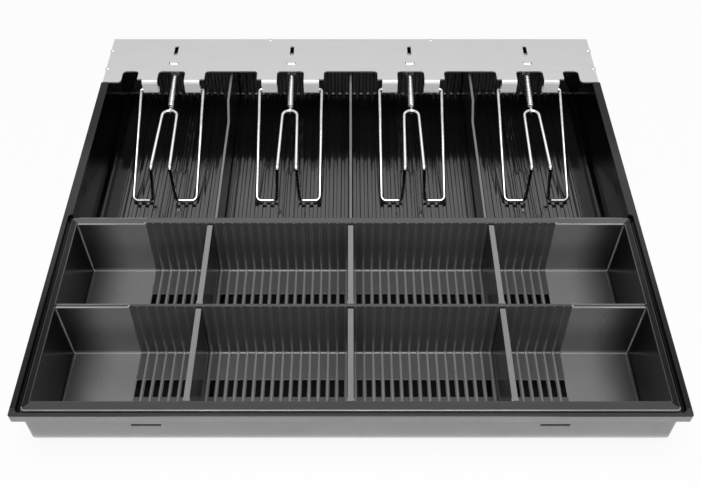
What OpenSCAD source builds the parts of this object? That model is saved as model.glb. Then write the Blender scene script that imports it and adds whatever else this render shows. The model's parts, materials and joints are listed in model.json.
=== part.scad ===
// Cash drawer insert: a tub with a lift-out coin tray, bill compartments and sprung wire bill clips.
// Millimetres. Origin at the centre of the base, +X right, +Y to the rear, +Z up.

/* [Tray] */
// Outer width of the rim
tray_w = 370; // [360:1:390]
// Outer depth of the insert
tray_d = 334; // [328:1:350]
// Height of the rim above the base
tray_h = 50; // [48:0.5:60]
// Height of the lip round the rim
lip_h = 6; // [5.5:0.5:8]
// Width of the lip's top at the sides of the coin tray
lip_side = 3.2; // [2.6:0.1:3.8]
// Width of the lip's top in front of the coin tray
lip_front = 2.2; // [1.6:0.1:2.8]
// Radius of the rim's corners in plan
rim_corner = 1.5; // [1.5:0.5:5]
// Thickness of the tub's walls
tub_wall = 1.8; // [1.4:0.1:2.2]
// Inset of the tub's side walls from the rim's edge
side_inset = 4; // [3.6:0.1:4.6]
// Inset of the tub's front wall from the rim's edge
front_inset = 3.5; // [3:0.1:4]
// Radius of the round below the front wall
front_round = 27; // [25:0.5:29]
// Radius of the rounds below the side walls
side_round = 10; // [6:0.5:10]
// Radius of the tub's upright corners in plan
tub_corner = 3.5; // [2:0.25:4]
// Thickness of the floor under the coin tray
tub_floor = 3; // [2.5:0.1:4]
// Height of the bill floor's rib tops above the base
bill_floor = 4; // [3.6:0.1:5]
// Lean of the rear wall from floor to top
rear_lean = 6.5; // [4:0.5:9]
// Thickness of the rear wall
rear_wall = 2.4; // [2:0.1:3]
// Thickness of the wall between coins and bills
cross_wall = 3.1; // [2.6:0.1:3.6]
// Length of each slot in the front wall
hook_slot_l = 16.5; // [12:0.5:20]
// Height of each slot in the front wall
hook_slot_h = 2; // [1.5:0.1:3]
// Distance of each front slot from the middle
hook_slot_x = 113.3; // [90:0.5:140]
// Depth of the front slots below the rim
hook_slot_drop = 15.8; // [12:0.2:18]

/* [Coin tray] */
// Gap between the lip and the coin tray's flange
coin_gap = 2.2; // [1.5:0.1:2.8]
// Depth of the coin tray from front to rear
coin_d = 141.9; // [136:0.1:146]
// Drop of the coin tray's top below the rim
coin_drop = 1.5; // [1:0.1:2]
// Thickness of the coin tray's flange
flange_t = 2.5; // [2:0.1:3]
// Thickness of the coin tray's walls and floor
coin_wall = 2; // [1.6:0.1:2.2]
// Width of the coin tray's rim at the front
coin_rim_front = 6.2; // [6:0.1:7]
// Width of the coin tray's rim at the rear
coin_rim_rear = 5.9; // [5.8:0.1:6.6]
// Width of the coin tray's rim at the sides
coin_rim_side = 4.2; // [4:0.1:5]
// Thickness of the wall between the rows, at its top
mid_wall = 3; // [2.6:0.1:4]
// Radius of the coin scoops
scoop_r = 22; // [18:0.5:24]
// Lean of each row's rear wall
coin_rear_draft = 2.3; // [1.6:0.1:3]
// Lean of the coin tray's end walls
coin_side_draft = 1.7; // [1:0.1:2.5]
// Radius of the fillets along the coin floor
coin_fillet = 2; // [1:0.25:3]

/* [Grooves] */
// Spacing of the divider grooves
pitch = 5.635; // [5.2:0.005:5.8]
// Width of the grooves in the bill compartment
groove_w = 2.6; // [2.5:0.05:3]
// Width of the grooves in the coin tray
coin_groove_w = 4.2; // [3.8:0.05:4.4]
// Depth of the grooves in the coin tray
coin_groove = 1; // [0.8:0.05:1.2]
// Grooves on each side of the middle one in a coin row
coin_groove_n = 23; // [18:1:26]
// Depth of the grooves in the bill floor
bill_groove = 1.5; // [1.2:0.1:2]
// Depth of the grooves in the bill compartment's end walls
end_groove = 1.2; // [1:0.1:1.4]
// Grooves on each side of the middle one in the bill floor
bill_groove_n = 29; // [26:1:30]
// Width of the slots in the coin floor
slot_w = 3.3; // [3:0.1:3.6]
// Length of the slots in the coin floor
slot_l = 12.2; // [8:0.2:16]
// Distance of the slots from each row's front wall
slot_start = 29.2; // [27:0.2:34]
// Plain band left above the coin grooves at the front of a row
groove_drop = 1.5; // [1:0.1:3]

/* [Dividers] */
// Grooves between one divider and the next
divider_step = 16; // [15:1:17]
// Thickness of the coin dividers
coin_div_t = 3.4; // [3:0.05:3.6]
// Drop of the coin dividers below the coin tray's top
coin_div_drop = 0.5; // [0:0.1:2]
// Width of the bar at a coin divider's front end
bar_w = 4.2; // [3.6:0.1:5]
// Depth of the bar at a coin divider's front end
bar_d = 1.8; // [1.4:0.1:2.4]
// Height of the bar at a coin divider's front end
bar_h = 16; // [10:1:18]
// Thickness of the bill dividers
bill_div_t = 1.8; // [1.4:0.05:2.2]
// Drop of a bill divider's front part below the rim
bill_div_low = 17.5; // [14:0.5:22]
// Drop of a bill divider's rear part below the rim
bill_div_high = 6; // [5.8:0.1:9]
// Length of the raised rear part ahead of the plate's cut edge
bill_div_lead = 26.9; // [20:0.1:34]
// Length of the slope up to the raised part
bill_div_slope = 10; // [6:0.5:14]
// Clearance of a divider in its seat
divider_clear = 0.3; // [0.2:0.05:0.4]

/* [Clip plate] */
// Thickness of the plate
plate_t = 1.2; // [1:0.1:1.4]
// Inset of the plate's sides from the rim's edge
plate_inset = 1; // [0.9:0.1:1.6]
// Depth of the plate behind its cut edge
plate_band = 39.3; // [36:0.1:42]
// Length of the plate's side strips ahead of the cut edge
strip_l = 12.9; // [11:0.1:14]
// Width of the plate's side strips
strip_w = 13.4; // [10:0.1:14]
// Height of the plate's skirts
skirt_h = 8; // [6:0.5:10]
// Gap between the skirts and the tub's rim
plate_gap = 0.2; // [0.1:0.05:0.3]
// Radius of the fillets in the plate's cut edge
plate_fillet = 3; // [2:0.5:3.5]
// Height by which the pressed dimples stand proud
dimple_h = 0.8; // [0.4:0.1:1]
// Radius of the pressed dimples
dimple_r = 2; // [1.6:0.1:2.4]
// Distance of the front side dimples behind the strips' ends
dimple_front_y = 16; // [10:0.5:20]
// Distance of the rear side dimples behind the strips' ends
dimple_back_y = 38; // [30:0.5:44]
// Distance of the rear dimples from the middle
dimple_rear_x = 62.5; // [30:0.5:160]
// Width of the mouth that each anchor tongue is bent from, at its rear
mouth_w = 7.4; // [6.8:0.1:9]
// Gap between the front of an anchor tongue and its mouth
mouth_gap = 0.5; // [0.3:0.1:1]
// Outer radius of the bend at the top of an anchor tongue
tongue_fold = 2.8; // [2.4:0.1:3.4]
// Width of the slot behind each spring anchor
peep_w = 2.8; // [2.4:0.1:3.6]
// Length of the slot behind each spring anchor
peep_l = 11; // [9:0.5:13]
// Distance of that slot behind the cut edge
peep_back = 19.1; // [17:0.1:21]
// Length of the lip pressed down at the slot's front
peep_lip = 5; // [3:0.5:7]
// Depth to which that lip is pressed down
peep_drop = 2; // [1:0.1:3]

/* [Bill clips] */
// Distance of the inner clips from the middle
clip_in_x = 45; // [43:0.5:47]
// Distance of the outer clips from the middle
clip_out_x = 134; // [132:0.5:136]
// Diameter of the clip wire
wire_d = 2.5; // [2.2:0.1:2.6]
// Clearance round a pin in its eye
pin_clear = 0.08; // [0.04:0.01:0.1]
// Distance of the pins ahead of the plate's cut edge
pivot_lead = 9.8; // [9:0.1:10.6]
// Drop of the pins below the plate's top
pivot_drop = 9.6; // [9:0.1:10.5]
// Distance of each outer leg from the clip's middle, at the pins
leg_x = 23.3; // [22.8:0.1:24]
// Distance of each foot corner from the clip's middle
foot_x = 22.7; // [21:0.1:24]
// Reach of the foot ahead of the pins
foot_reach = 82.1; // [70:0.5:95]
// Gap between the foot and the bill floor
foot_gap = 0.3; // [0.2:0.05:1]
// Distance of each riser's foot from the clip's middle
riser_x = 8.3; // [7.5:0.1:10]
// Distance of each riser's top from the clip's middle
riser_top_x = 6.6; // [6:0.1:8]
// Drop of the risers' tops below the plate's top
riser_drop = 16.8; // [14:0.2:20]
// Distance of the risers' tops behind their feet
riser_lean = 6; // [0:0.5:9]
// Radius of the loop at the rear of the clip
loop_r = 5.5; // [5:0.1:6]
// Reach of the loop's end ahead of the pins
loop_reach = 18.1; // [17:0.1:20]
// Drop of the loop's end below the plate's top
loop_drop = 15; // [14:0.1:16.5]
// Distance of each hinge tab's inner edge from the clip's middle
tab_in = 10; // [9:0.1:10.6]
// Distance of each hinge tab's outer edge from the clip's middle
tab_out = 21.4; // [20.5:0.1:21.5]
// Distance of each ear's outer edge from the clip's middle
ear_out = 25; // [24:0.1:26]
// Wall left round a hinge eye
eye_wall = 1.27; // [1:0.05:1.4]
// Outer radius of the fold above a hinge eye
fold_r = 2.84; // [2.6:0.02:3.2]
// Distance of the pin's inner end from the clip's middle
pin_in = 11; // [10.6:0.1:13]

/* [Springs] */
// Outer diameter of the springs
spring_d = 3.7; // [3.4:0.1:3.9]
// Diameter of the spring wire
spring_wire = 1.1; // [0.9:0.05:1.1]
// Turns of each spring
spring_turns = 18; // [10:1:18]
// Advance of each turn
spring_pitch = 1.6; // [1.55:0.05:1.7]
// Distance of the anchor tongue's rear face behind the cut edge
tongue_back = 9.1; // [8.6:0.1:10.4]
// Width of the anchor tongue
tongue_w = 6; // [4:0.1:6.4]
// Drop of the hole in the tongue below the plate's top
anchor_drop = 8; // [7.6:0.1:9]
// Radius of the hole in the tongue
anchor_r = 1.3; // [1.2:0.05:1.4]

/* [Hidden] */

$fn = 48;
eps = 0.05;
// Levels
front_y = -tray_d / 2;
ledge_z = tray_h - coin_drop - flange_t;
lip_z = tray_h - lip_h;
plate_z = tray_h - plate_t;
// Tub
tub_x = tray_w / 2 - side_inset;
well_x = tub_x - tub_wall;
tub_y = front_y + front_inset;
well_y = tub_y + tub_wall;
ledge_w = 1.6;
well_round = side_round / 2;
mouth_corner = 0.8;
// Coin tray
flange_x = tray_w / 2 - lip_side - coin_gap;
coin_y0 = front_y + lip_front + coin_gap;
coin_y1 = coin_y0 + coin_d;
coin_top = tray_h - coin_drop;
coin_floor = tub_floor + coin_wall;
row_x = flange_x - coin_rim_side;
row_l = (coin_d - coin_rim_front - coin_rim_rear - mid_wall) / 2;
row_y = [for (i = [0, 1]) coin_y0 + coin_rim_front + i * (row_l + mid_wall)];
flange_corner = 2;
// Plate and rear rim
plate_x = tray_w / 2 - plate_inset;
plate_y1 = tray_d / 2 - dimple_h;
cut_y = plate_y1 - plate_band;
strip_y = cut_y - strip_l;
rear_rim_x = plate_x - plate_t - plate_gap;
rear_rim_y = plate_y1 - plate_t - plate_gap;
rear_rim_w = 3.3;
peep_corner = 1;
peep_gap = 0.3;
rear_y1 = rear_rim_y - rear_rim_w;
rear_y0 = rear_y1 - rear_lean;
function rear_at(z) = rear_y0 + rear_lean * (z - bill_floor) / (plate_z - bill_floor);
// Wall between coins and bills
cross_lap = 0.3;
cross_y1 = coin_y1 - cross_lap;
cross_y0 = cross_y1 - cross_wall;
bill_corner = 3;
// Clips
clip_x = [-clip_out_x, -clip_in_x, clip_in_x, clip_out_x];
wire_r = wire_d / 2;
bend_grow = 0.03;
bend_lap = 0.3;
pivot_y = cut_y - pivot_lead;
pivot_z = tray_h - pivot_drop;
eye_r = wire_r + pin_clear;
eye_out = eye_r + eye_wall;
face_y = pivot_y - eye_out;
ear_y = face_y + fold_r;
foot_z = bill_floor + foot_gap + wire_r;
pin_bend = 1.7;
foot_bend = 3.5;
riser_bend = 3;
loop_y = pivot_y - loop_reach;
loop_z = tray_h - loop_drop;
// Springs
coil_r = (spring_d - spring_wire) / 2;
anchor_y = cut_y + tongue_back - plate_t / 2;
anchor_z = tray_h - anchor_drop;
hook_clear = 0.35;

// Outline with rounded convex corners, each point given as [x, y, radius]
module rounded(points) {
    n = len(points);
    xy = [for (p = points) [p[0], p[1]]];
    u = [for (i = [0:n - 1]) unit(xy[(i + n - 1) % n] - xy[i])];
    v = [for (i = [0:n - 1]) unit(xy[(i + 1) % n] - xy[i])];
    half = [for (i = [0:n - 1]) acos(u[i] * v[i]) / 2];
    cut = [for (i = [0:n - 1]) points[i][2] / tan(half[i])];
    polygon([for (i = [0:n - 1]) each (points[i][2] > 0
        ? [xy[i] + u[i] * cut[i], xy[i] + v[i] * cut[i]]
        : [xy[i]])]);
    for (i = [0:n - 1])
        if (points[i][2] > 0)
            translate(xy[i] + unit(u[i] + v[i]) * points[i][2] / sin(half[i])) circle(points[i][2]);
}

function unit(v) = v / norm(v);

// Rectangle in plan with rounded corners
module plan(x0, y0, x1, y1, r) {
    rounded([[x0, y0, r], [x1, y0, r], [x1, y1, r], [x0, y1, r]]);
}

// Extrusion along X of an outline drawn in Y and Z
module along_x(x0, x1) {
    translate([x0, 0, 0]) rotate([90, 0, 90]) linear_extrude(x1 - x0) children();
}

// Extrusion along Y of an outline drawn in X and Z
module along_y(y0, y1) {
    translate([0, y1, 0]) rotate([90, 0, 0]) linear_extrude(y1 - y0) children();
}

module box(lo, hi) {
    translate(lo) cube(hi - lo);
}

// Tub with its lip, wells, grooves and slots

module tub_block() {
    intersection() {
        along_y(front_y, rear_rim_y)
            rounded([[-tub_x, 0, side_round], [tub_x, 0, side_round],
                [tub_x, plate_z, 0], [-tub_x, plate_z, 0]]);
        along_x(-tub_x, tub_x)
            rounded([[tub_y, 0, front_round], [rear_at(0) + rear_wall, 0, bill_corner],
                [rear_at(plate_z) + rear_wall, plate_z, 0], [tub_y, plate_z, 0]]);
        linear_extrude(plate_z)
            plan(-tub_x, tub_y, tub_x, rear_rim_y, tub_corner);
    }
}

module rim_block() {
    translate([0, 0, lip_z]) linear_extrude(lip_h)
        difference() {
            plan(-tray_w / 2, front_y, tray_w / 2, strip_y + rim_corner, rim_corner);
            translate([-tray_w, strip_y - plate_gap]) square([2 * tray_w, 2 * rim_corner + plate_gap]);
        }
    translate([0, 0, lip_z]) linear_extrude(plate_z - lip_z)
        plan(-rear_rim_x, strip_y - 2 * rim_corner, rear_rim_x, rear_rim_y, rim_corner);
}

// Space under the ledge, its mouth, and the rabbet that takes the flange
module coin_well() {
    intersection() {
        along_y(tub_y, cross_y0)
            rounded([[-well_x, tub_floor, well_round], [well_x, tub_floor, well_round],
                [well_x, ledge_z - tub_wall, 0], [-well_x, ledge_z - tub_wall, 0]]);
        along_x(-well_x, well_x)
            rounded([[well_y, tub_floor, front_round - tub_wall], [cross_y0, tub_floor, 0],
                [cross_y0, ledge_z, 0], [well_y, ledge_z, 0]]);
    }
    translate([0, 0, ledge_z - tub_wall - eps]) linear_extrude(tub_wall + 2 * eps)
        plan(ledge_w - well_x, well_y + ledge_w, well_x - ledge_w, cross_y0, mouth_corner);
    translate([0, 0, ledge_z]) linear_extrude(tray_h)
        plan(lip_side - tray_w / 2, front_y + lip_front, tray_w / 2 - lip_side, coin_y1 + coin_gap / 2,
            flange_corner);
}

module bill_well() {
    intersection() {
        along_y(cross_y1, rear_rim_y)
            rounded([[-well_x, bill_floor, bill_corner], [well_x, bill_floor, bill_corner],
                [well_x, tray_h + eps, 0], [-well_x, tray_h + eps, 0]]);
        along_x(-well_x, well_x)
            rounded([[cross_y1, bill_floor, 0], [rear_y0, bill_floor, bill_corner],
                [rear_y1, plate_z, 0], [rear_y1, tray_h + eps, 0], [cross_y1, tray_h + eps, 0]]);
    }
}

// Side outline of one bill groove, down the wall between, along the floor and up the rear wall
module bill_groove_outline() {
    z0 = bill_floor - bill_groove;
    z1 = plate_z - lip_h;
    polygon([[cross_y1 - end_groove, z0], [rear_at(z0) + end_groove, z0], [rear_at(z1) + end_groove, z1],
        [rear_y0, z1], [cross_y1 + end_groove, ledge_z + eps], [cross_y1 - end_groove, ledge_z + eps]]);
}

module tray() {
    color([0.05, 0.05, 0.055]) difference() {
        union() {
            tub_block();
            rim_block();
        }
        coin_well();
        bill_well();
        for (i = [-bill_groove_n:bill_groove_n])
            along_x(i * pitch - groove_w / 2, i * pitch + groove_w / 2) bill_groove_outline();
        for (s = [-1, 1])
            translate([s * hook_slot_x, tub_y, tray_h - hook_slot_drop])
                cube([hook_slot_l, 4 * tub_wall, hook_slot_h], center = true);
    }
}

// Coin tray with two rows of scooped compartments

// Side outline of a row up to the height top, grown outwards by t
module row_side(i, t, top) {
    rise = (top - coin_top) / (coin_top - coin_floor);
    rounded([[row_y[i] - t, coin_floor - t, scoop_r + t],
        [row_y[i] + row_l - coin_rear_draft + t, coin_floor - t, coin_fillet],
        [row_y[i] + row_l + t + rise * coin_rear_draft, top, 0], [row_y[i] - t, top, 0]]);
}

// Front outline of a row up to the height top, grown outwards by t
module row_end(t, top) {
    rise = (top - coin_top) / (coin_top - coin_floor);
    x0 = row_x - coin_side_draft + t;
    x1 = row_x + t + rise * coin_side_draft;
    rounded([[-x0, coin_floor - t, coin_fillet], [x0, coin_floor - t, coin_fillet],
        [x1, top, 0], [-x1, top, 0]]);
}

module row_solid(i, t) {
    intersection() {
        along_y(row_y[i] - 2 * t, row_y[i] + row_l + 2 * t) row_end(t, coin_top);
        along_x(-row_x - t, row_x + t) row_side(i, t, coin_top);
    }
}

module row_cavity(i) {
    intersection() {
        along_y(row_y[i] - eps, row_y[i] + row_l + eps) row_end(0, coin_top + eps);
        along_x(-row_x - eps, row_x + eps) row_side(i, 0, coin_top + eps);
    }
}

// Groove outline, from below the plain band at the front to the top of the rear wall
module groove_side(i) {
    intersection() {
        row_side(i, coin_groove, coin_top + eps);
        union() {
            translate([row_y[i] - coin_wall, 0]) square([row_l, coin_top - groove_drop]);
            translate([row_y[i] + row_l / 2, 0]) square([row_l, tray_h]);
        }
    }
}

module coin_tray() {
    color([0.06, 0.06, 0.065]) difference() {
        union() {
            translate([0, 0, ledge_z]) linear_extrude(flange_t)
                plan(-flange_x, coin_y0, flange_x, coin_y1, flange_corner);
            for (i = [0, 1]) row_solid(i, coin_wall);
        }
        for (i = [0, 1]) {
            row_cavity(i);
            for (k = [-coin_groove_n:coin_groove_n]) {
                along_x(k * pitch - coin_groove_w / 2, k * pitch + coin_groove_w / 2) groove_side(i);
                translate([k * pitch - slot_w / 2, row_y[i] + slot_start, 0])
                    cube([slot_w, slot_l, coin_floor + eps]);
            }
        }
    }
}

// Side outline of a coin divider: round front foot and chamfered rear foot
module divider_side(i) {
    seat = coin_groove - divider_clear;
    front = row_y[i] - seat;
    foot = [row_y[i] + row_l - coin_rear_draft + seat, coin_floor - seat];
    top = [row_y[i] + row_l + seat, coin_top];
    chamfer_end = foot + unit(top - foot) * coin_fillet;
    intersection() {
        rounded([[front, foot[1], scoop_r + seat], [foot[0] - coin_fillet, foot[1], 0],
            [chamfer_end[0], chamfer_end[1], 0], [top[0], top[1], 0], [front, top[1], 0]]);
        translate([row_y[i] + divider_clear, 0])
            square([row_l - 2 * divider_clear, coin_top - coin_div_drop]);
    }
}

// Lift-out divider for a coin row, with a bar down its front end and a tab in the floor slot
module coin_divider(i, k) {
    x = k * divider_step * pitch;
    y0 = row_y[i] + divider_clear;
    top = coin_top - coin_div_drop;
    tab_y = y0 + slot_start;
    tab_x = slot_w / 2 - divider_clear;
    color([0.06, 0.06, 0.065]) union() {
        along_x(x - coin_div_t / 2, x + coin_div_t / 2) divider_side(i);
        box([x - bar_w / 2, y0, top - bar_h], [x + bar_w / 2, y0 + bar_d, top]);
        box([x - tab_x, tab_y, tub_floor + divider_clear],
            [x + tab_x, tab_y + slot_l - 2 * divider_clear, coin_floor + eps]);
    }
}

// Upright plate between two bill compartments
module bill_divider(k) {
    x = k * divider_step * pitch;
    seat = end_groove - divider_clear;
    z0 = bill_floor - bill_groove + divider_clear;
    z_low = tray_h - bill_div_low;
    z_high = tray_h - bill_div_high;
    z_back = z_high - lip_h;
    y_step = cut_y - bill_div_lead;
    color([0.05, 0.05, 0.055]) along_x(x - bill_div_t / 2, x + bill_div_t / 2)
        polygon([[cross_y1 - seat, z0], [rear_at(z0) + seat, z0], [rear_at(z_back) + seat, z_back],
            [rear_at(z_back) - lip_h, z_high], [y_step, z_high],
            [y_step - bill_div_slope, z_low], [cross_y1 - seat, z_low]]);
}

// Clip plate: sheet with skirts, hinge tabs, spring anchors and pressed dimples

// Concave corner fill in plan, into the corner at the origin towards (sx, sy)
module corner_fill(sx, sy) {
    corner = [sx * plate_fillet, sy * plate_fillet];
    difference() {
        polygon([[0, 0], [corner[0], 0], corner, [0, corner[1]]]);
        translate(corner) circle(plate_fillet);
    }
}

// Arm at one end of the sheet, with its inner corner rounded
module arm_plan(s) {
    x0 = s > 0 ? plate_x - strip_w : -plate_x;
    rounded([[x0, strip_y, s > 0 ? plate_fillet : 0], [x0 + strip_w, strip_y, s > 0 ? 0 : plate_fillet],
        [x0 + strip_w, cut_y + eps, 0], [x0, cut_y + eps, 0]]);
}

module plate_plan() {
    translate([-plate_x, cut_y]) square([2 * plate_x, plate_band]);
    for (s = [-1, 1]) {
        arm_plan(s);
        translate([s * (plate_x - strip_w), cut_y]) corner_fill(-s, -1);
    }
    for (x = clip_x, s = [-1, 1]) {
        translate([s > 0 ? x + tab_in : x - ear_out, ear_y]) square([ear_out - tab_in, cut_y + eps - ear_y]);
        translate([x + s * tab_in, cut_y]) corner_fill(-s, -1);
        translate([x + s * ear_out, cut_y]) corner_fill(s, -1);
    }
}

// Openings in the sheet: a mouth ahead of each tongue, and a slot behind it
module plate_holes() {
    for (x = clip_x) {
        y0 = cut_y + tongue_back - plate_t - mouth_gap;
        y1 = y0 + mouth_gap + tongue_fold;
        polygon([[x - mouth_w / 2, y1], [x + mouth_w / 2, y1],
            [x + tongue_w / 2, y0], [x - tongue_w / 2, y0]]);
        translate([x, cut_y + peep_back]) plan(-peep_w / 2, 0, peep_w / 2, peep_l, peep_corner);
    }
}

// Side outline of the sheet folded down ahead of y, with outer radius r
module sheet_fold(y, r) {
    translate([y, tray_h - r]) intersection() {
        difference() {
            circle(r);
            circle(r - plate_t);
        }
        translate([-r, 0]) square(r);
    }
}

// Side outline of a hinge tab: fold, drop and rolled eye
module tab_side() {
    difference() {
        union() {
            sheet_fold(ear_y, fold_r);
            translate([ear_y - eps, plate_z]) square([plate_t, plate_t]);
            translate([face_y, pivot_z]) square([plate_t, pivot_drop - fold_r + eps]);
            translate([pivot_y, pivot_z]) circle(eye_out);
        }
        translate([pivot_y, pivot_z]) circle(eye_r);
    }
}

// Tongue bent down from the sheet, with the hole for a spring's hook
module tongue(x) {
    y0 = cut_y + tongue_back - plate_t;
    y1 = y0 + tongue_fold;
    z0 = anchor_z - anchor_r - plate_t;
    difference() {
        along_x(x - tongue_w / 2, x + tongue_w / 2) {
            translate([y0, z0]) square([plate_t, tray_h - tongue_fold + eps - z0]);
            sheet_fold(y1, tongue_fold);
            translate([y1 - eps, plate_z]) square([plate_t, plate_t]);
        }
        translate([x, y0 - eps, anchor_z]) rotate([-90, 0, 0]) cylinder(h = plate_t + 2 * eps, r = anchor_r);
    }
}

// Lip lanced down at the front of a slot
module peep_tongue(x) {
    y0 = cut_y + peep_back;
    z1 = tray_h - peep_drop;
    y1 = y0 + peep_lip;
    along_x(x - peep_w / 2 + peep_gap, x + peep_w / 2 - peep_gap)
        polygon([[y0 - eps, tray_h], [y1, z1], [y1, z1 - plate_t], [y0 - eps, plate_z]]);
}

// Pressed dimple straddling the sheet's outer edge at p, kept outside the sheet
module dimple(p) {
    difference() {
        translate(p) sphere(dimple_r);
        box([-plate_x + plate_t, 0, 0], [plate_x - plate_t, plate_y1 - plate_t, plate_z]);
    }
}

module clip_plate() {
    inset = dimple_r - dimple_h;
    z0 = tray_h - skirt_h;
    color([0.75, 0.75, 0.76]) union() {
        translate([0, 0, plate_z]) linear_extrude(plate_t) difference() {
            plate_plan();
            plate_holes();
        }
        for (s = [-1, 1]) {
            box([s > 0 ? plate_x - plate_t : -plate_x, strip_y, z0],
                [s > 0 ? plate_x : plate_t - plate_x, plate_y1, tray_h]);
            dimple([s * dimple_rear_x, plate_y1 - inset, tray_h - inset]);
            for (d = [dimple_front_y, dimple_back_y])
                dimple([s * (plate_x - inset), strip_y + d, tray_h - inset]);
        }
        box([-plate_x, plate_y1 - plate_t, z0], [plate_x, plate_y1, tray_h]);
        for (x = clip_x) {
            tongue(x);
            peep_tongue(x);
            for (s = [-1, 1])
                along_x(x + (s > 0 ? tab_in : -tab_out), x + (s > 0 ? tab_out : -tab_in)) tab_side();
        }
    }
}

// Bent wire clip

// Round rod from a to b
module rod(a, b, r) {
    d = b - a;
    translate(a) rotate([0, acos(d[2] / norm(d)), atan2(d[1], d[0])]) cylinder(h = norm(d), r = r);
}

// Half the angle between the two runs that meet at b
function half_angle(a, b, c) = acos(unit(a - b) * unit(c - b)) / 2;

// Length that a bend of radius r takes off each run
function bend_cut(a, b, c, r) = r / tan(half_angle(a, b, c));

// Bend of radius r at the corner b between the runs from a and to c
module bend(a, b, c, r) {
    u = unit(a - b);
    v = unit(c - b);
    cut = bend_cut(a, b, c, r);
    mid = b + unit(u + v) * r / sin(half_angle(a, b, c));
    ex = unit(b + u * cut - mid);
    ew = unit(cross(ex, b + v * cut - mid));
    ey = cross(ew, ex);
    multmatrix([[ex[0], ey[0], ew[0], mid[0]], [ex[1], ey[1], ew[1], mid[1]],
        [ex[2], ey[2], ew[2], mid[2]], [0, 0, 0, 1]])
        rotate_extrude(angle = 180 - 2 * half_angle(a, b, c))
            translate([r, 0]) circle(wire_r + bend_grow);
}

// Wire through the points p with a bend of radius r[i] at each inner point
module wire(p, r) {
    last = len(p) - 1;
    cut = [for (i = [0:last]) i == 0 || i == last ? 0 : bend_cut(p[i - 1], p[i], p[i + 1], r[i]) - bend_lap];
    for (i = [0:last - 1]) {
        d = unit(p[i + 1] - p[i]);
        rod(p[i] + d * cut[i], p[i + 1] - d * cut[i + 1], wire_r);
    }
    for (i = [1:1:last - 1]) bend(p[i - 1], p[i], p[i + 1], r[i]);
}

module bill_clip(n) {
    rise = [0, pivot_y - foot_reach + riser_lean, tray_h - riser_drop];
    slope = unit([0, loop_y, loop_z] - rise);
    loop_mid = [0, loop_y, loop_z] - slope * loop_r;
    color([0.85, 0.85, 0.86]) translate([clip_x[n - 1], 0, 0]) union() {
        for (s = [-1, 1])
            wire([[s * pin_in, pivot_y, pivot_z], [s * leg_x, pivot_y, pivot_z],
                [s * foot_x, pivot_y - foot_reach, foot_z], [s * riser_x, pivot_y - foot_reach, foot_z],
                [s * riser_top_x, rise[1], rise[2]], [s * loop_r, 0, 0] + loop_mid + slope * bend_lap],
                [0, pin_bend, foot_bend, riser_bend, riser_bend, 0]);
        translate(loop_mid) rotate([asin(slope[2]), 0, 0])
            rotate_extrude(angle = 180) translate([loop_r, 0]) circle(wire_r + bend_grow);
    }
}

// Extension spring, one tube from the hook round the clip's loop to the hook in the anchor tongue

rings = 8;
tube_sides = 6;
spring_vec = [0, anchor_y - loop_y, anchor_z - loop_z];
spring_l = norm(spring_vec);
along = unit(spring_vec);
across = [0, -along[2], along[1]];
hook_r = wire_r + bend_grow + hook_clear + spring_wire / 2;
hook_from = 70;
hook_to = 330;
hook_step = 26;
tail_r = 1.9;
tail_step = 30;
tail_s = spring_l + plate_t / 2 + hook_clear;
tail_dip = 0.2;
coil_l = spring_turns * spring_pitch;
coil_s0 = (spring_l - coil_l) / 2 - hook_clear;

// Point at s along the spring's line, h across it and x to the side
function spring_at(s, h, x) = [x, loop_y, loop_z] + along * s + across * h;

// Straight end, hook round the loop, coil, run through the tongue, hook behind it and straight end
front_hook = concat(
    [spring_at(hook_r * cos(hook_from) + spring_wire, hook_r * sin(hook_from) - hook_clear, 0)],
    [for (a = [hook_from:hook_step:hook_to]) spring_at(hook_r * cos(a), hook_r * sin(a), 0)]);
coil = [for (i = [0:spring_turns * rings])
    let (a = 360 * i / rings - 90)
    spring_at(coil_s0 + coil_l * i / (spring_turns * rings), coil_r * sin(a), coil_r * cos(a))];
rear_hook = concat(
    [spring_at(spring_l - 2 * plate_t, -tail_dip, 0), spring_at(spring_l, 0, 0)],
    [for (a = [90:-tail_step:-90]) spring_at(tail_s + tail_r * cos(a), tail_r * sin(a) - tail_r, 0)],
    [spring_at(tail_s - spring_wire, -2 * tail_r, 0)]);
spring_path = concat(front_hook, coil, rear_hook);

function tangent(p, i) = unit(p[min(i + 1, len(p) - 1)] - p[max(i - 1, 0)]);

// Normals carried along the path without twist
function carried(p) = [for (i = 0, n = [1, 0, 0]; i < len(p);
    i = i + 1, n = i < len(p) ? unit(n - tangent(p, i) * (n * tangent(p, i))) : n) n];

// Closed tube of radius r along the path p
module tube(p, r) {
    n = carried(p);
    turn = 360 / tube_sides;
    points = [for (i = [0:len(p) - 1]) let (t = tangent(p, i), b = cross(t, n[i]))
        for (k = [0:tube_sides - 1]) p[i] + r * (cos(turn * k) * n[i] + sin(turn * k) * b)];
    last = (len(p) - 1) * tube_sides;
    sides = [for (i = [0:len(p) - 2], k = [0:tube_sides - 1])
        let (a = i * tube_sides + k, b = i * tube_sides + (k + 1) % tube_sides)
        each [[a, b + tube_sides, b], [a, a + tube_sides, b + tube_sides]]];
    caps = [for (k = [1:tube_sides - 2]) each [[0, k, k + 1], [last, last + k + 1, last + k]]];
    polyhedron(points, concat(sides, caps));
}

// Least gap of the tube to itself, between points at least most of a turn apart
self_gap = min([for (i = [0:len(spring_path) - 1], j = [i + rings - 2:1:len(spring_path) - 1])
    norm(spring_path[i] - spring_path[j])]) - spring_wire;
echo(least_spring_gap_mm = self_gap);

module clip_spring(n) {
    color([0.8, 0.8, 0.81]) translate([clip_x[n - 1], 0, 0]) tube(spring_path, spring_wire / 2);
}

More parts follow.
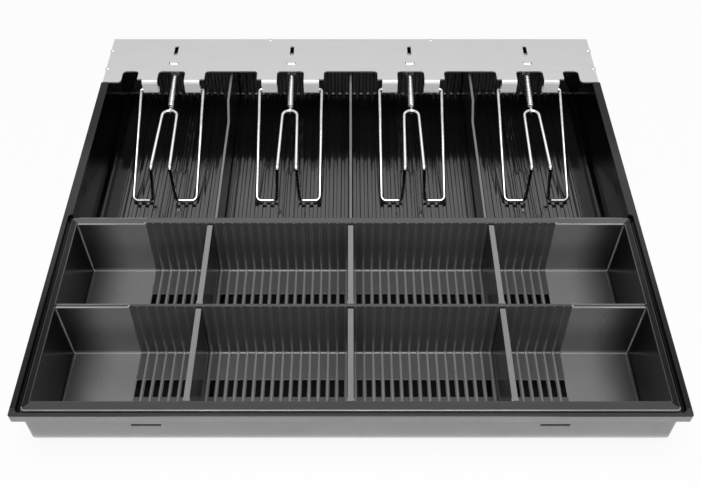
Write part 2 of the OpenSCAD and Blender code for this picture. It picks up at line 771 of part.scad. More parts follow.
tray();
coin_tray();
clip_plate();
coin_divider(0, -1);  // coin_divider_front_left
coin_divider(0, 0);  // coin_divider_front_centre
coin_divider(0, 1);  // coin_divider_front_right
coin_divider(1, -1);  // coin_divider_rear_left
coin_divider(1, 0);  // coin_divider_rear_centre
coin_divider(1, 1);  // coin_divider_rear_right
bill_divider(-1);  // bill_divider_left
bill_divider(0);  // bill_divider_centre
bill_divider(1);  // bill_divider_right
bill_clip(1);  // bill_clip_1
bill_clip(2);  // bill_clip_2
bill_clip(3);  // bill_clip_3
bill_clip(4);  // bill_clip_4
clip_spring(1);  // clip_spring_1
clip_spring(2);  // clip_spring_2
clip_spring(3);  // clip_spring_3
clip_spring(4);  // clip_spring_4
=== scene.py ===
"""Cash drawer insert: finishes, bevels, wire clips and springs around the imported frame. Metres."""

import json
from math import acos, ceil, cos, pi, radians, sin, tan

import bmesh
import bpy
from mathutils import Matrix, Vector


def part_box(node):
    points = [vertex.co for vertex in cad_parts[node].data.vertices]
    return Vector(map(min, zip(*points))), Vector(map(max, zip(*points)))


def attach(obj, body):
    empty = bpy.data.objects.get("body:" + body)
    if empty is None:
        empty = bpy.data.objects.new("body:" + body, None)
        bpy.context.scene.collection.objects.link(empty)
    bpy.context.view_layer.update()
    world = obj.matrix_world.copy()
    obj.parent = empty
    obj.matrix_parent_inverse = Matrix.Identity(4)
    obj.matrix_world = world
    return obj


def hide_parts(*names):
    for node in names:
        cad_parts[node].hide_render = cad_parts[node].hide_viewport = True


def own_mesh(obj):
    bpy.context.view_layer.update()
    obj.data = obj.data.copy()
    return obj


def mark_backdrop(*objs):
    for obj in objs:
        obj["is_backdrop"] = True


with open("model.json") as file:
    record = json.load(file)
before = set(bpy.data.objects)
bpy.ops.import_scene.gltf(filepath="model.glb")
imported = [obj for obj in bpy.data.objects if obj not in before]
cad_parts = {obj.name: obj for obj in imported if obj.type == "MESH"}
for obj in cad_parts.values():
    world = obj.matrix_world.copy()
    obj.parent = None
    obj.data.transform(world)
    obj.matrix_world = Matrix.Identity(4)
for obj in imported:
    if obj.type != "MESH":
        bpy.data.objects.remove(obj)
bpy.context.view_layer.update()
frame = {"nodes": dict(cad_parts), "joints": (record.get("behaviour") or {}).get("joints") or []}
nodes = frame["nodes"]
joints = {joint["name"]: joint for joint in frame["joints"]}
MM = 0.001
CLIPS = (1, 2, 3, 4)


# Node helpers: values between nodes are output sockets

def node(tree, kind, inputs=None, **settings):
    """New node with values for its inputs and its settings."""
    made = tree.nodes.new(kind)
    for name, value in settings.items():
        setattr(made, name, value)
    for socket, value in (inputs or {}).items():
        made.inputs[socket].default_value = value
    return made


def link(tree, source, target, socket):
    tree.links.new(source, target.inputs[socket])


def fed_by(shader, socket):
    """Output that feeds a socket."""
    return shader.inputs[socket].links[0].from_socket


def maths(tree, operation, *values):
    """Math node on numbers and outputs."""
    made = node(tree, "ShaderNodeMath", operation=operation)
    for socket, value in zip(made.inputs, values):
        if isinstance(value, bpy.types.NodeSocket):
            tree.links.new(value, socket)
        else:
            socket.default_value = value
    return made.outputs[0]


def ranged(tree, source, first, last, shape="LINEAR"):
    """Number that goes from one (value, level) to another as its source does."""
    made = node(tree, "ShaderNodeMapRange", {"From Min": first[0], "From Max": last[0],
                                             "To Min": first[1], "To Max": last[1]},
                interpolation_type=shape)
    link(tree, source, made, "Value")
    return made.outputs[0]


def blend(tree, share, low, high):
    """Colour that is low, and high where share is 1."""
    mix = node(tree, "ShaderNodeMix", data_type="RGBA")
    for source, socket in zip((share, low, high), ("Factor", 6, 7)):
        link(tree, source, mix, socket)
    return mix.outputs[2]


def parts_of(tree, vector):
    """X, Y and Z of a vector."""
    split = node(tree, "ShaderNodeSeparateXYZ")
    link(tree, vector, split, "Vector")
    return tuple(split.outputs)


def object_place(tree):
    """X, Y and Z in the piece's own frame."""
    return parts_of(tree, node(tree, "ShaderNodeTexCoord").outputs["Object"])


# Short forms of the math node; a mask is 1 where it holds and 0 elsewhere

def above(tree, value, limit):
    return maths(tree, "GREATER_THAN", value, limit)


def below(tree, value, limit):
    return maths(tree, "LESS_THAN", value, limit)


def around(tree, value, middle, half):
    return maths(tree, "COMPARE", value, middle, half)


def inverse(tree, mask):
    return maths(tree, "SUBTRACT", 1.0, mask)


def times(tree, first, second):
    return maths(tree, "MULTIPLY", first, second)


def most(tree, first, second):
    return maths(tree, "MAXIMUM", first, second)


def less(tree, first, second):
    return maths(tree, "SUBTRACT", first, second)


def size_of(tree, value):
    return maths(tree, "ABSOLUTE", value)


# Noise, as cells a metre, detail and a stretch along each axis

CLOUDS = (14, 4)
GLOSS_CLOUDS = (22, 6, (1, 2.5, 1))
PAINTED_TONE_CLOUDS = (30, 5)
MOULD_GRAIN = (1600, 2)
ROLLED_GRAIN = (700, 4, (0.05, 1.0, 1.0))
DRAWN_MARKS = (420, 4)
WIRE_GRAIN = (2400, 2)
NOISE_ROUGHNESS = 0.55
NOISE_LOW = 0.3
NOISE_HIGH = 0.7
TONE_STOPS = (0.32, 0.7)


def object_noise(tree, scale, detail, stretch=(1, 1, 1)):
    """Noise in the piece's own frame."""
    mapping = node(tree, "ShaderNodeMapping", {"Scale": stretch})
    noise = node(tree, "ShaderNodeTexNoise",
                 {"Scale": scale, "Detail": detail, "Roughness": NOISE_ROUGHNESS})
    link(tree, node(tree, "ShaderNodeTexCoord").outputs["Object"], mapping, "Vector")
    link(tree, mapping.outputs["Vector"], noise, "Vector")
    return noise.outputs["Fac"]


def spread(tree, noise, low, high):
    """Noise mapped to the range from low to high."""
    return ranged(tree, noise, (NOISE_LOW, low), (NOISE_HIGH, high))


def greys(dark, light, blue):
    """Two grey tones, each with a little more blue."""
    return (dark, dark, dark + blue), (light, light, light + blue)


def two_tone(tree, noise, tones):
    """Colour that wanders between two tones."""
    made = node(tree, "ShaderNodeValToRGB")
    for stop, place, tone in zip(made.color_ramp.elements, TONE_STOPS, tones):
        stop.position = place
        stop.color = (*tone, 1)
    link(tree, noise, made, "Fac")
    return made.outputs["Color"]


def bumped(tree, noise, shader, strength, depth):
    """Relief of the given depth on a shader."""
    bump = node(tree, "ShaderNodeBump", {"Strength": strength, "Distance": depth})
    link(tree, noise, bump, "Height")
    link(tree, bump.outputs["Normal"], shader, "Normal")


# Material helpers

PLASTIC_IOR = 1.55
MOULD_DEPTH = 0.02 * MM
METAL_DEPTH = 0.01 * MM


def material(name, **sockets):
    """New material with values for its shader's inputs."""
    made = bpy.data.materials.new(name)
    made.use_nodes = True
    shader = made.node_tree.nodes["Principled BSDF"]
    for socket, value in sockets.items():
        shader.inputs[socket.replace("_", " ")].default_value = value
    return made, made.node_tree, shader


def moulded_plastic(name, tones, roughness, grain):
    """Moulding with a cloudy tone, a roughness that wanders between two values and a fine skin."""
    made, tree, shader = material(name, IOR=PLASTIC_IOR)
    link(tree, two_tone(tree, object_noise(tree, *CLOUDS), tones), shader, "Base Color")
    link(tree, spread(tree, object_noise(tree, *GLOSS_CLOUDS), *roughness), shader, "Roughness")
    bumped(tree, object_noise(tree, *MOULD_GRAIN), shader, grain, MOULD_DEPTH)
    return made, tree, shader


def recolour(tree, shader, share, tones):
    """Mixes other tones into a shader's colour, by share; here these tones paint light and shade."""
    other = two_tone(tree, object_noise(tree, *PAINTED_TONE_CLOUDS), tones)
    link(tree, blend(tree, share, fed_by(shader, "Base Color"), other), shader, "Base Color")


# Tub: on black, a share of Metallic weakens the reflections, as painted shade

TUB_BLACK = greys(0.005, 0.008, 0.0003)
# Outer walls: the tub's greyer outside, painted far lighter as lamp light and floor reflection on them
TUB_PAINTED_LIGHT = greys(0.208, 0.240, 0.002)
TUB_ROUGHNESS = (0.09, 0.15)
TUB_GRAIN = 0.06
FRONT_ROUND_Y = 136.5 * MM
FRONT_ROUND_R = 27 * MM
FRONT_PAINTED_LIGHT_TOP = 49.6 * MM
SIDE_ROUND_X = 171 * MM
SIDE_ROUND_R = 10 * MM
SIDE_PAINTED_LIGHT_TOP = 43.8 * MM
SKIN_DEPTH = 0.8 * MM
# Floor under the coin slots, darkened as painted shade, as a middle and half size along Y and Z
SHADED_FLOOR_Y = (-82 * MM, 57.5 * MM)
SHADED_FLOOR_Z = (3.3 * MM, 1.1 * MM)
# Inner side walls, darkened by a share of Metallic as painted shade
SIDE_WALL_X = 174 * MM
SIDE_WALL_FRONT = -162 * MM
SIDE_WALL_SHADE = 0.6


def outside_round(tree, across, height, centre, radius):
    """1 on the tub's outer surface, beyond a bottom round whose axis lies at centre."""
    level = maths(tree, "MINIMUM", less(tree, height, radius), 0.0)
    reach = most(tree, less(tree, across, centre), 0.0)
    square = maths(tree, "ADD", maths(tree, "POWER", reach, 2.0), maths(tree, "POWER", level, 2.0))
    return above(tree, square, (radius - SKIN_DEPTH) ** 2)


def tub_plastic(name):
    """Gloss black inside; the greyer outside painted far lighter as lamp light and floor reflection on the
    outer walls; painted shade, by a share of Metallic, on the inner side walls and the floor under the coin
    slots.
    """
    made, tree, shader = moulded_plastic(name, TUB_BLACK, TUB_ROUGHNESS, TUB_GRAIN)
    x, y, z = object_place(tree)
    width = size_of(tree, x)
    front = outside_round(tree, times(tree, y, -1.0), z, FRONT_ROUND_Y, FRONT_ROUND_R)
    front = times(tree, front, below(tree, z, FRONT_PAINTED_LIGHT_TOP))
    side = outside_round(tree, width, z, SIDE_ROUND_X, SIDE_ROUND_R)
    side = times(tree, side, below(tree, z, SIDE_PAINTED_LIGHT_TOP))
    outside = most(tree, front, side)
    # Paints the outer walls light grey, as light and floor reflection
    recolour(tree, shader, outside, TUB_PAINTED_LIGHT)
    floor = times(tree, around(tree, y, *SHADED_FLOOR_Y), around(tree, z, *SHADED_FLOOR_Z))
    wall = times(tree, above(tree, width, SIDE_WALL_X), above(tree, y, SIDE_WALL_FRONT))
    wall = times(tree, wall, inverse(tree, outside))
    # Metallic on black darkens the floor under the coin slots and the inner side walls: painted shade
    link(tree, most(tree, floor, times(tree, wall, SIDE_WALL_SHADE)), shader, "Metallic")
    return made


# Coin tray

COIN_BLACK = greys(0.022, 0.030, 0.0005)
# Painted shade: a deeper black on the end walls and side rims
COIN_PAINTED_SHADE = greys(0.005, 0.008, 0.0002)
# Painted light: a lighter grey on the ribs and floors for the light they catch
COIN_PAINTED_LIGHT = greys(0.170, 0.198, 0.001)
COIN_ROUGHNESS = (0.15, 0.21)
COIN_GRAIN = 0.10
PAINTED_LIGHT_ROUGHER = 0.12
GROOVES = 23
GROOVE_PITCH = 5.635 * MM
GROOVE_W = 4.2 * MM
# Share of the painted light left in the grooves, which keeps them dark as painted shade
GROOVE_LIGHT_SHARE = 0.18
# Both rows together, as a middle and half size along Y
ROWS_Y = (-90.4 * MM, 67 * MM)
END_X = 173.2 * MM
END_LEAN = 0.039
PAINTED_LIGHT_TOP = 48.3 * MM
FLOOR_TOP = 7 * MM
RIM_X = 174.5 * MM
RIM_MIDDLE_Y = -91.6 * MM
RIM_HALF_L = 65 * MM
# Painted light fades from one (place, share) to another, up the ribs and towards the ends
RIB_LIGHT_FADE = ((9 * MM, 1.0), (26 * MM, 0.25))
END_LIGHT_FADE = ((144 * MM, 1.0), (173 * MM, 0.05))
# Shares of Metallic that darken the side rims, end walls and walls near the ends, as painted shade
RIM_SHADE = 0.75
END_SHADE = 0.2
NEAR_END_SHADE = 0.5


def side_rims(tree, width, y):
    """1 from the side rims outwards, mitred to the front and rear rims."""
    past = most(tree, less(tree, size_of(tree, less(tree, y, RIM_MIDDLE_Y)), RIM_HALF_L), 0.0)
    return above(tree, less(tree, width, past), RIM_X)


def coin_plastic(name):
    """Black rims, grooves and end walls; painted light on ribs and floors, little in the grooves, fading up
    the ribs and towards the ends; painted shade on the end walls, side rims and walls near the ends.
    """
    made, tree, shader = moulded_plastic(name, COIN_BLACK, COIN_ROUGHNESS, COIN_GRAIN)
    x, y, z = object_place(tree)
    width = size_of(tree, x)
    low = below(tree, z, PAINTED_LIGHT_TOP)
    upright = less(tree, width, times(tree, z, END_LEAN))
    within = times(tree, below(tree, upright, END_X), around(tree, y, *ROWS_Y))
    inside = times(tree, within, low)
    beside = above(tree, maths(tree, "PINGPONG", width, GROOVE_PITCH / 2), GROOVE_W / 2)
    beyond = above(tree, width, GROOVES * GROOVE_PITCH + GROOVE_W / 2)
    rib = times(tree, beside, ranged(tree, z, *RIB_LIGHT_FADE, "SMOOTHSTEP"))
    ribs = times(tree, most(tree, rib, GROOVE_LIGHT_SHARE), inverse(tree, beyond))
    lit_share = ranged(tree, width, *END_LIGHT_FADE, "SMOOTHSTEP")
    # Painted light on the ribs and floors, little in the grooves, fading towards the ends
    painted_light = times(tree, inside, most(tree, ribs, times(tree, beyond, lit_share)))
    outer = side_rims(tree, width, y)
    ends = most(tree, less(tree, low, inside), outer)
    rims = times(tree, outer, inverse(tree, low))
    walls = times(tree, inside, above(tree, z, FLOOR_TOP))
    # Painted shade: walls near the ends, where the painted light fades, and the end walls and side rims get
    # a share of Metallic
    shaded_walls = times(tree, walls, inverse(tree, lit_share))
    painted_shade = most(tree, times(tree, rims, RIM_SHADE), times(tree, ends, END_SHADE))
    link(tree, most(tree, painted_shade, times(tree, shaded_walls, NEAR_END_SHADE)), shader, "Metallic")
    # Paints shade onto the end walls and side rims
    recolour(tree, shader, ends, COIN_PAINTED_SHADE)
    # Paints the light onto the ribs and floors
    recolour(tree, shader, painted_light, COIN_PAINTED_LIGHT)
    rougher = maths(tree, "ADD", fed_by(shader, "Roughness"), times(tree, painted_light, PAINTED_LIGHT_ROUGHER))
    link(tree, rougher, shader, "Roughness")
    return made


# Rounded edges of the coin tray, with painted highlights

# Painted highlight tones for the rounded edges
EDGE_HIGHLIGHT_TONES = greys(0.30, 0.36, 0.002)
EDGE_ROUGHNESS = (0.14, 0.20)
EDGE_GRAIN = 0.04
# Plain ends beyond the grooves, as a middle and half size along X
PLAIN_X = (153 * MM, 21.8 * MM)
PLAIN_FRONT = -150 * MM
FRONT_EDGE = -160 * MM
LOW_EDGE = 47.4 * MM
LOW_SHARE = 0.4


def edge_highlight_plastic(name):
    """Edges with a painted highlight, full on the plain ends and the front, weaker low down, and none along
    the sides and across the grooved rims.
    """
    made, tree, shader = moulded_plastic(name, COIN_BLACK, EDGE_ROUGHNESS, EDGE_GRAIN)
    x, y, z = object_place(tree)
    plain = times(tree, around(tree, size_of(tree, x), *PLAIN_X), above(tree, y, PLAIN_FRONT))
    low = times(tree, below(tree, z, LOW_EDGE), LOW_SHARE)
    highlight = most(tree, plain, most(tree, low, below(tree, y, FRONT_EDGE)))
    # Paints the highlight onto the edges
    recolour(tree, shader, highlight, EDGE_HIGHLIGHT_TONES)
    return made


# Dividers

DIVIDER_BLACK = greys(0.012, 0.018, 0.0003)
# Painted highlight on the dividers' top edges
DIVIDER_TOP_HIGHLIGHT = greys(0.200, 0.226, 0.001)
DIVIDER_ROUGHNESS = (0.20, 0.28)
DIVIDER_GRAIN = 0.10
DIVIDER_TOP = 47.5 * MM
BILL_BLACK = greys(0.010, 0.016, 0.0003)
# Painted light on the bill dividers' upward faces
BILL_UPWARD_LIGHT = greys(0.150, 0.185, 0.001)
BILL_ROUGHNESS = (0.16, 0.24)
BILL_GRAIN = 0.08
UPWARD = 0.5


def divider_plastic(name):
    """Gloss black plate with a painted highlight on its top edge."""
    made, tree, shader = moulded_plastic(name, DIVIDER_BLACK, DIVIDER_ROUGHNESS, DIVIDER_GRAIN)
    height = object_place(tree)[2]
    recolour(tree, shader, above(tree, height, DIVIDER_TOP), DIVIDER_TOP_HIGHLIGHT)
    return made


def bill_divider_plastic(name):
    """Gloss black plate whose upward faces are painted lighter, as light falling on them."""
    made, tree, shader = moulded_plastic(name, BILL_BLACK, BILL_ROUGHNESS, BILL_GRAIN)
    rise = parts_of(tree, node(tree, "ShaderNodeNewGeometry").outputs["Normal"])[2]
    recolour(tree, shader, above(tree, rise, UPWARD), BILL_UPWARD_LIGHT)
    return made


# Steel sheet and wire

SHEET_GREY = greys(0.55, 0.58, 0.005)
SHEET_ROUGHNESS = (0.30, 0.36)
SHEET_GRAIN = 0.05
SHEET_METALLIC = 0.45
# Hinge tabs: a near-white grey without Metallic, painted light for the front light on them
TAB_PAINTED_LIGHT = greys(0.88, 0.92, 0.005)
TAB_REAR = 130 * MM
TAB_X = 170 * MM
TAB_TOP = 48.6 * MM
CHROME_GREY = greys(0.52, 0.62, 0.005)
CHROME_ROUGHNESS = (0.07, 0.15)
SPRING_GREY = greys(0.66, 0.78, 0.01)
SPRING_ROUGHNESS = (0.16, 0.26)
WIRE_RELIEF = 0.04


def satin_steel(name):
    """Zinc-plated sheet with a faint rolled grain along its length, and painted light on its hinge tabs."""
    made, tree, shader = material(name)
    rolled = object_noise(tree, *ROLLED_GRAIN)
    x, y, z = object_place(tree)
    tabs = times(tree, below(tree, y, TAB_REAR), below(tree, size_of(tree, x), TAB_X))
    tabs = times(tree, tabs, below(tree, z, TAB_TOP))
    sheet = two_tone(tree, rolled, SHEET_GREY)
    pale = two_tone(tree, rolled, TAB_PAINTED_LIGHT)
    # Paints light onto the hinge tabs
    link(tree, blend(tree, tabs, sheet, pale), shader, "Base Color")
    link(tree, times(tree, inverse(tree, tabs), SHEET_METALLIC), shader, "Metallic")
    link(tree, spread(tree, rolled, *SHEET_ROUGHNESS), shader, "Roughness")
    bumped(tree, rolled, shader, SHEET_GRAIN, METAL_DEPTH)
    return made


def bright_wire(name, tones, roughness):
    """Plated wire with faint drawing marks."""
    made, tree, shader = material(name, Metallic=1.0)
    marks = object_noise(tree, *DRAWN_MARKS)
    link(tree, two_tone(tree, marks, tones), shader, "Base Color")
    link(tree, spread(tree, marks, *roughness), shader, "Roughness")
    bumped(tree, object_noise(tree, *WIRE_GRAIN), shader, WIRE_RELIEF, METAL_DEPTH)
    return made


TRAY = tub_plastic("black_tub")
COIN = coin_plastic("black_coin_tray")
DIVIDER = divider_plastic("black_divider")
BILL_DIVIDER = bill_divider_plastic("black_bill_divider")
EDGE = edge_highlight_plastic("painted_edge_highlight")
STEEL = satin_steel("zinc_sheet")
CHROME = bright_wire("chrome_wire", CHROME_GREY, CHROME_ROUGHNESS)
SPRING = bright_wire("zinc_spring", SPRING_GREY, SPRING_ROUGHNESS)


# Edges of the solids carried over from the frame

SMOOTH_ANGLE = radians(32)
WELD_GAP = 0.002 * MM
FLAT_ANGLE = radians(0.4)
BEVEL_SEGMENTS = 2
WEIGHT_STEP = 0.01 * MM
CORNER_FOOT = 8 * MM
CORNER_REACH = 1.7 * MM
NO_CORNER = 1.0


def geometry_group(name):
    """Geometry group, its incoming geometry and its end node."""
    group = bpy.data.node_groups.new(name, "GeometryNodeTree")
    for side in ("INPUT", "OUTPUT"):
        group.interface.new_socket("Geometry", in_out=side, socket_type="NodeSocketGeometry")
    start = node(group, "NodeGroupInput")
    return group, start.outputs["Geometry"], node(group, "NodeGroupOutput")


def sharp_edges(group):
    """True on edges sharper than SMOOTH_ANGLE."""
    sharp = node(group, "FunctionNodeCompare", {"B": SMOOTH_ANGLE}, operation="GREATER_THAN")
    link(group, node(group, "GeometryNodeInputMeshEdgeAngle").outputs["Unsigned Angle"], sharp, "A")
    return sharp.outputs["Result"]


def plain_normals():
    """Geometry group that drops stored normals, so that the edges made later shade by themselves."""
    group, start, end = geometry_group("plain_normals")
    drop = node(group, "GeometryNodeRemoveAttribute", {"Name": "custom_normal"})
    link(group, start, drop, "Geometry")
    link(group, drop.outputs["Geometry"], end, "Geometry")
    return group


def smooth_by_angle():
    """Geometry group that shades faces smooth, apart from sharp edges."""
    group, start, end = geometry_group("smooth_by_angle")
    faces = node(group, "GeometryNodeSetShadeSmooth", {"Shade Smooth": True}, domain="FACE")
    edges = node(group, "GeometryNodeSetShadeSmooth", {"Shade Smooth": False}, domain="EDGE")
    link(group, start, faces, "Geometry")
    link(group, faces.outputs["Geometry"], edges, "Geometry")
    link(group, sharp_edges(group), edges, "Selection")
    link(group, edges.outputs["Geometry"], end, "Geometry")
    return group


def rounding_weights(name, level=0.0, lower=1.0, corner_x=NO_CORNER, skip=None):
    """Geometry group that weights the rounding of sharp edges: 1 above a level and at upright corners
    about corner_x from the middle, lower elsewhere, and 0 in a box of middles and half sizes."""
    group, start, end = geometry_group(name)
    x, y, z = parts_of(group, node(group, "GeometryNodeInputPosition").outputs["Position"])
    width = size_of(group, x)
    share = ranged(group, z, (level - WEIGHT_STEP, lower), (level, 1.0))
    corner = times(group, above(group, z, CORNER_FOOT), around(group, width, corner_x, CORNER_REACH))
    weight = times(group, sharp_edges(group), most(group, corner, share))
    if skip:
        hits = [around(group, place, *limits) for place, limits in zip((width, y, z), skip)]
        boxed = times(group, times(group, hits[0], hits[1]), hits[2])
        weight = times(group, weight, inverse(group, boxed))
    keep = node(group, "GeometryNodeStoreNamedAttribute", {"Name": "bevel_weight_edge"},
                data_type="FLOAT", domain="EDGE")
    link(group, start, keep, "Geometry")
    link(group, weight, keep, "Value")
    link(group, keep.outputs["Geometry"], end, "Geometry")
    return group


PLAIN = plain_normals()
SMOOTH = smooth_by_angle()


def dress(name, finish, bevel, weights, edge=None):
    """Gives a carried-over solid its finish and rounds its sharp edges by bevel times their weight."""
    piece = nodes[name]
    for place in piece.material_slots:
        place.material = finish
    piece.modifiers.new("plain", "NODES").node_group = PLAIN
    piece.modifiers.new("weld", "WELD").merge_threshold = WELD_GAP
    dissolve = piece.modifiers.new("dissolve", "DECIMATE")
    dissolve.decimate_type = "DISSOLVE"
    dissolve.angle_limit = FLAT_ANGLE
    piece.modifiers.new("weights", "NODES").node_group = weights
    rounds = piece.modifiers.new("rounds", "BEVEL")
    rounds.width = bevel
    rounds.segments = BEVEL_SEGMENTS
    if edge:
        piece.data.materials.append(edge)
        rounds.material = len(piece.data.materials) - 1
    rounds.limit_method = "WEIGHT"
    rounds.use_clamp_overlap = False
    rounds.loop_slide = False
    piece.modifiers.new("smooth", "NODES").node_group = SMOOTH
    weighted = piece.modifiers.new("weighted", "WEIGHTED_NORMAL")
    weighted.keep_sharp = True


TUB_BEVEL = 0.4 * MM
COIN_BEVEL = 0.66 * MM
PLATE_BEVEL = 0.2 * MM
DIVIDER_BEVEL = 0.3 * MM
RIM_LEVEL = 48.4 * MM
RIM_LOWER = 0.27
RIM_CORNER_X = 174.2 * MM
STEP_LEVEL = 5.6 * MM
STEP_LOWER = 0.5
# Ledge under the coin tray's flange, as a middle and half size along X, Y and Z
LEDGE = ((89.2 * MM, 90.3 * MM), (-93 * MM, 69.8 * MM), (45.1 * MM, 1.05 * MM))

EVEN = rounding_weights("even_rounding")
RIM = rounding_weights("rim_rounding", RIM_LEVEL, RIM_LOWER, RIM_CORNER_X)
STEP = rounding_weights("step_rounding", STEP_LEVEL, STEP_LOWER)
TUB = rounding_weights("tub_rounding", skip=LEDGE)
dress("tray", TRAY, TUB_BEVEL, TUB)
dress("coin_tray", COIN, COIN_BEVEL, RIM, EDGE)
dress("clip_plate", STEEL, PLATE_BEVEL, EVEN)
for name in nodes:
    if name.startswith("coin_divider"):
        dress(name, DIVIDER, DIVIDER_BEVEL, STEP)
    elif name.startswith("bill_divider"):
        dress(name, BILL_DIVIDER, DIVIDER_BEVEL, EVEN)


# Tubes for wire and springs

BEND_STEP = radians(6)


def swept(name, path, radius, sides, finish):
    """Closed tube along a path of points, its rings carried without twist."""
    mesh = bmesh.new()
    rings = []
    normal = None
    last = len(path) - 1
    turns = [2 * pi * k / sides for k in range(sides)]
    for i, point in enumerate(path):
        tangent = (path[min(i + 1, last)] - path[max(i - 1, 0)]).normalized()
        side = normal if normal else tangent.orthogonal()
        normal = (side - tangent * side.dot(tangent)).normalized()
        across = tangent.cross(normal)
        spokes = [(normal * cos(a) + across * sin(a)) * radius for a in turns]
        rings.append([mesh.verts.new(point + spoke) for spoke in spokes])
    for a, b in zip(rings, rings[1:]):
        for k in range(sides):
            face = mesh.faces.new((a[k], a[(k + 1) % sides], b[(k + 1) % sides], b[k]))
            face.smooth = True
    mesh.faces.new(list(reversed(rings[0])))
    mesh.faces.new(rings[-1])
    mesh.normal_update()
    data = bpy.data.meshes.new(name)
    mesh.to_mesh(data)
    mesh.free()
    data.materials.append(finish)
    made = bpy.data.objects.new(name, data)
    bpy.context.scene.collection.objects.link(made)
    return made


def bent(points, radii):
    """Path through points, with an arc of the given radius at each inner point."""
    path = [points[0]]
    for before, corner, after, radius in zip(points, points[1:], points[2:], radii):
        u = (before - corner).normalized()
        v = (after - corner).normalized()
        half = acos(u.dot(v)) / 2
        middle = corner + (u + v).normalized() * (radius / sin(half))
        start = corner + u * (radius / tan(half)) - middle
        turn = pi - 2 * half
        axis = u.cross(v) * -1
        count = max(2, ceil(turn / BEND_STEP))
        path += [middle + Matrix.Rotation(turn * k / count, 3, axis) @ start for k in range(count + 1)]
    return path + [points[-1]]


# Bill clips, bent from one wire each

WIRE_R = 1.25 * MM
WIRE_SIDES = 16
LEG_X = 23.3 * MM
FOOT_X = 22.7 * MM
PIN_IN = 11 * MM
RISER_X = 8.3 * MM
RISER_TOP_X = 6.6 * MM
RISER_TOP_Z = 33.2 * MM
RISER_LEAN = 6 * MM
LOOP_R = 5.5 * MM
LOOP_REACH = 18.1 * MM
LOOP_Z = 35 * MM
LOOP_STEPS = 24
PIN_BEND = 1.7 * MM
FOOT_BEND = 3.5 * MM
RISER_BEND = 3 * MM


def clip_path(pivot, low):
    """Centreline of a clip about its middle: pin, leg, foot, riser, loop and back to the other pin."""
    foot_y = low.y + WIRE_R
    foot_z = low.z + WIRE_R
    loop_end = Vector((0, pivot.y - LOOP_REACH, LOOP_Z))
    rise = Vector((0, foot_y + RISER_LEAN, RISER_TOP_Z))
    slope = (loop_end - rise).normalized()
    loop_mid = loop_end - slope * LOOP_R
    half = [Vector((PIN_IN, pivot.y, pivot.z)), Vector((LEG_X, pivot.y, pivot.z)),
            Vector((FOOT_X, foot_y, foot_z)), Vector((RISER_X, foot_y, foot_z)),
            rise + Vector((RISER_TOP_X, 0, 0)), loop_mid + Vector((LOOP_R, 0, 0))]
    right = bent(half, (PIN_BEND, FOOT_BEND, RISER_BEND, RISER_BEND))
    arc = [loop_mid + Vector((LOOP_R * cos(a), 0, 0)) + slope * (LOOP_R * sin(a))
           for a in (pi * k / LOOP_STEPS for k in range(1, LOOP_STEPS))]
    left = [Vector((-p.x, p.y, p.z)) for p in reversed(right)]
    return right + arc + left


for n in CLIPS:
    pivot = Vector(joints[f"bill_clip_{n}_swing"]["pos_m"])
    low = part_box(f"bill_clip_{n}")[0]
    middle = Vector((pivot.x, 0, 0))
    path = [point + middle for point in clip_path(pivot, low)]
    clip = swept(f"clip_wire_{n}", path, WIRE_R, WIRE_SIDES, CHROME)
    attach(clip, f"bill_clip_{n}")
    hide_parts(f"bill_clip_{n}")


# Springs between the clips' loops and the plate's tongues

SPRING_WIRE = 1.1 * MM
SPRING_SIDES = 10
SPRING_D = 4.8 * MM
SPRING_TURNS = 18
SPRING_PITCH = 1.6 * MM
TURN_RINGS = 20
HOOK_CLEAR = 0.35 * MM
PLATE_T = 1.2 * MM
TAIL_R = 1.9 * MM
HOOK_TURN = [radians(degrees) for degrees in range(70, 331, 10)]
TAIL_TURN = [radians(degrees) for degrees in range(90, -91, -15)]


def spring_path(loop_end, anchor):
    """Hook round the clip's loop, the coil, and the hook through the tongue's hole."""
    along = (anchor - loop_end).normalized()
    across = Vector((0, -along.z, along.y))
    length = (anchor - loop_end).length
    coil_r = (SPRING_D - SPRING_WIRE) / 2
    coil_l = SPRING_TURNS * SPRING_PITCH
    coil_start = (length - coil_l) / 2 - HOOK_CLEAR
    hook_r = WIRE_R + HOOK_CLEAR + SPRING_WIRE / 2
    tail_s = length + PLATE_T / 2 + HOOK_CLEAR

    def at(s, h, x=0.0):
        return loop_end + along * s + across * h + Vector((x, 0, 0))

    hook = [at(hook_r * cos(a), hook_r * sin(a)) for a in HOOK_TURN]
    steps = SPRING_TURNS * TURN_RINGS
    turns = [(coil_l * i / steps, 2 * pi * i / TURN_RINGS - pi / 2) for i in range(steps + 1)]
    coil = [at(coil_start + s, coil_r * sin(a), coil_r * cos(a)) for s, a in turns]
    tail = [at(tail_s + TAIL_R * cos(a), TAIL_R * (sin(a) - 1)) for a in TAIL_TURN]
    return hook + coil + [at(length, 0)] + tail + [at(tail_s - SPRING_WIRE, -2 * TAIL_R)]


for n in CLIPS:
    pivot = Vector(joints[f"bill_clip_{n}_swing"]["pos_m"])
    anchor = Vector(joints[f"clip_spring_{n}_swing"]["pos_m"])
    loop_end = Vector((pivot.x, pivot.y - LOOP_REACH, LOOP_Z))
    path = spring_path(loop_end, anchor)
    spring = swept(f"spring_{n}", path, SPRING_WIRE / 2, SPRING_SIDES, SPRING)
    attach(spring, f"clip_spring_{n}")
    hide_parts(f"clip_spring_{n}")
    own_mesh(spring)


# Floor, light and camera

FLOOR_HALF = 6.0
FLOOR_GREY = 0.93
FLOOR_ROUGHNESS = 0.9
FLOOR_GLOW = 0.9
AMBIENT = 0.06
LAMP_TARGET = Vector((0, 50 * MM, 0))
LAMP_DISTANCE = 1.6
EYE_PLACE = (-0.1 * MM, -412.5 * MM, 477.3 * MM)
EYE_TILT = radians(40.79)
LENS_MM = 46.22
SENSOR_MM = 36


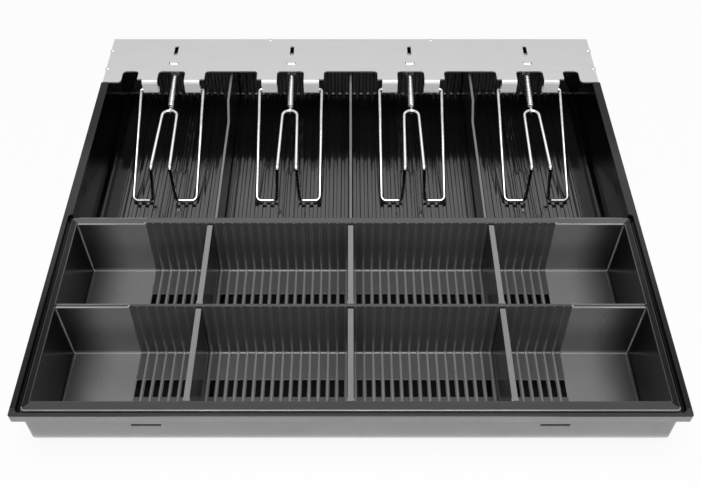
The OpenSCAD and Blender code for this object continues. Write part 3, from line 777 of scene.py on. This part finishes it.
def seen_rays(tree):
    """1 for rays that show the background: from the camera, in gloss and through glass."""
    rays = node(tree, "ShaderNodeLightPath").outputs
    return most(tree, most(tree, rays["Is Camera Ray"], rays["Is Glossy Ray"]), rays["Is Transmission Ray"])


def white_floor():
    """Pale floor whose seen colour is white, with the object's shadow kept in it."""
    mesh = bmesh.new()
    bmesh.ops.create_grid(mesh, x_segments=1, y_segments=1, size=FLOOR_HALF)
    data = bpy.data.meshes.new("floor")
    mesh.to_mesh(data)
    mesh.free()
    floor = bpy.data.objects.new("floor", data)
    bpy.context.scene.collection.objects.link(floor)
    pale = (FLOOR_GREY, FLOOR_GREY, FLOOR_GREY, 1)
    made, tree, shader = material("floor_white", Base_Color=pale, Roughness=FLOOR_ROUGHNESS)
    white = node(tree, "ShaderNodeEmission", {"Color": (1, 1, 1, 1), "Strength": 1})
    mix = node(tree, "ShaderNodeMixShader")
    link(tree, times(tree, seen_rays(tree), FLOOR_GLOW), mix, 0)
    link(tree, shader.outputs[0], mix, 1)
    link(tree, white.outputs[0], mix, 2)
    link(tree, mix.outputs[0], tree.nodes["Material Output"], "Surface")
    data.materials.append(made)
    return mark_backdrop(floor)


def white_world():
    """White where it is seen, and a lower soft light on the object."""
    world = bpy.data.worlds.new("studio")
    world.use_nodes = True
    tree = world.node_tree
    shade = tree.nodes["Background"]
    shade.inputs["Color"].default_value = (1, 1, 1, 1)
    link(tree, ranged(tree, seen_rays(tree), (0.0, AMBIENT), (1.0, 1.0)), shade, "Strength")
    bpy.context.scene.world = world


def panel(name, azimuth, elevation, width, height, radiance):
    """Rectangular soft box that looks at the bills, from degrees off +Y towards +X and above the floor.
    Its radiance is its brightness where white is 1."""
    level = LAMP_DISTANCE * cos(radians(elevation))
    offset = Vector((level * sin(radians(azimuth)), level * cos(radians(azimuth)),
                     LAMP_DISTANCE * sin(radians(elevation))))
    lamp = bpy.data.lights.new(name, "AREA")
    lamp.shape = "RECTANGLE"
    lamp.size = width
    lamp.size_y = height
    lamp.energy = radiance * pi * width * height
    made = bpy.data.objects.new(name, lamp)
    made.location = LAMP_TARGET + offset
    made.rotation_euler = (-offset).to_track_quat("-Z", "Y").to_euler()
    bpy.context.scene.collection.objects.link(made)


white_floor()
white_world()
panel("rear_box", azimuth=0, elevation=51, width=1.5, height=0.38, radiance=1.1)
panel("front_box", azimuth=180, elevation=72, width=0.9, height=1.2, radiance=6.4)
panel("front_fill", azimuth=180, elevation=17, width=1.2, height=0.3, radiance=4.5)

camera = bpy.data.cameras.new("camera")
camera.lens = LENS_MM
camera.sensor_width = SENSOR_MM
eye = bpy.data.objects.new("camera", camera)
eye.location = EYE_PLACE
eye.rotation_euler = (EYE_TILT, 0, 0)
bpy.context.scene.collection.objects.link(eye)
bpy.context.scene.camera = eye
bpy.context.scene.view_settings.view_transform = "Standard"
